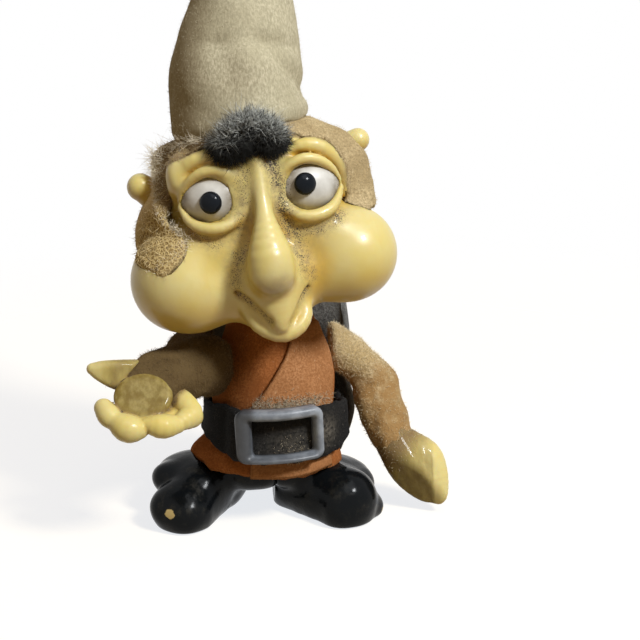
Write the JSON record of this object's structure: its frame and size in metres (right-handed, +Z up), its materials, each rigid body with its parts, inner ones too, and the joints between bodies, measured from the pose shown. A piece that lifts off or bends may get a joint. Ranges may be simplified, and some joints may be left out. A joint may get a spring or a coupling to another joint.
{
  "type": "gnome figurine",
  "caption": "Nodding gnome figurine: a big-nosed moulded head bobs on a coil spring above a body in felt tunic, belt and cape, with swivelling arms and a tall felt hat.",
  "frame": {"origin": "on the ground under the soles, below the middle of the part's box", "axes": "+Z up, the face looks along -Y, +X to the gnome's left"},
  "size_m": [0.0512, 0.0382, 0.0997],
  "materials": {
    "body_plastic": "cast, unpainted, hidden by the clothes",
    "bush_plastic": "moulded",
    "tunic_felt": "thin rust-orange felt, worn",
    "belt_felt": "black felt, dusty",
    "buckle_plastic": "grey-blue moulded frame, bevelled",
    "cape_felt": "dark grey felt",
    "boot_paint": "glossy black paint, worn at the toes",
    "sleeve_flock": "brown flock, fading at the cuffs",
    "skin_plastic": "aged cream-yellow moulded plastic with dirt in its creases",
    "spring_steel": "bright drawn wire",
    "eye_white": "off-white, dirty at the rims",
    "pupil_black": "glossy raised dome",
    "hair_cloth": "worn brown pile cloth, frayed edge",
    "hat_felt": "khaki felt with an upright nap",
    "wadding": "loose cotton",
    "forelock_fur": "short black fur"
  },
  "bodies": {
    "figure": {"torso_core": "body_plastic", "neck_plug": "bush_plastic", "tunic": "tunic_felt", "tunic_front_flap": "tunic_felt", "belt": "belt_felt", "belt_buckle": "buckle_plastic", "cape": "cape_felt", "right_boot": "boot_paint", "left_boot": "boot_paint"},
    "spring": {"neck_spring": "spring_steel"},
    "neck_mount": {"spring_cup": "bush_plastic"},
    "head": {"head": "skin_plastic", "right_eye": "eye_white", "left_eye": "eye_white", "right_pupil": "pupil_black", "left_pupil": "pupil_black", "hair": "hair_cloth", "hat": "hat_felt", "hat_wadding": "wadding", "forelock": "forelock_fur"},
    "right_arm": {"right_sleeve": "sleeve_flock", "right_hand": "skin_plastic"},
    "left_arm": {"left_sleeve": "sleeve_flock", "left_hand": "skin_plastic"}
  },
  "joints": [
    {"name": "head_sway", "type": "hinge", "parent": "figure", "child": "spring", "pos_m": [0.00009, 0.00421, 0.0335], "axis": [0, 1, 0], "range_deg": [-3, 18], "stiffness_Nm_per_rad": 0.03, "springref_deg": 0.92, "deforming": ["neck_spring"]},
    {"name": "head_nod", "type": "hinge", "parent": "spring", "child": "neck_mount", "pos_m": [0.00009, 0.00421, 0.0335], "axis": [1, 0, 0], "range_deg": [-12, 5], "stiffness_Nm_per_rad": 0.03, "springref_deg": -1.72, "deforming": ["neck_spring"]},
    {"name": "head_turn", "type": "hinge", "parent": "neck_mount", "child": "head", "pos_m": [0.00009, 0.00421, 0.0335], "axis": [-0.1812, 0.1045, 0.9779], "range_deg": [-20, 45]},
    {"name": "right_arm_swing", "type": "hinge", "parent": "figure", "child": "right_arm", "pos_m": [-0.00867, 0.00521, 0.0252], "axis": [1, 0, 0], "range_deg": [-2, 10]},
    {"name": "left_arm_swing", "type": "hinge", "parent": "figure", "child": "left_arm", "pos_m": [0.00884, 0.00521, 0.0252], "axis": [1, 0, 0], "range_deg": [-50, 3]}
  ]
}
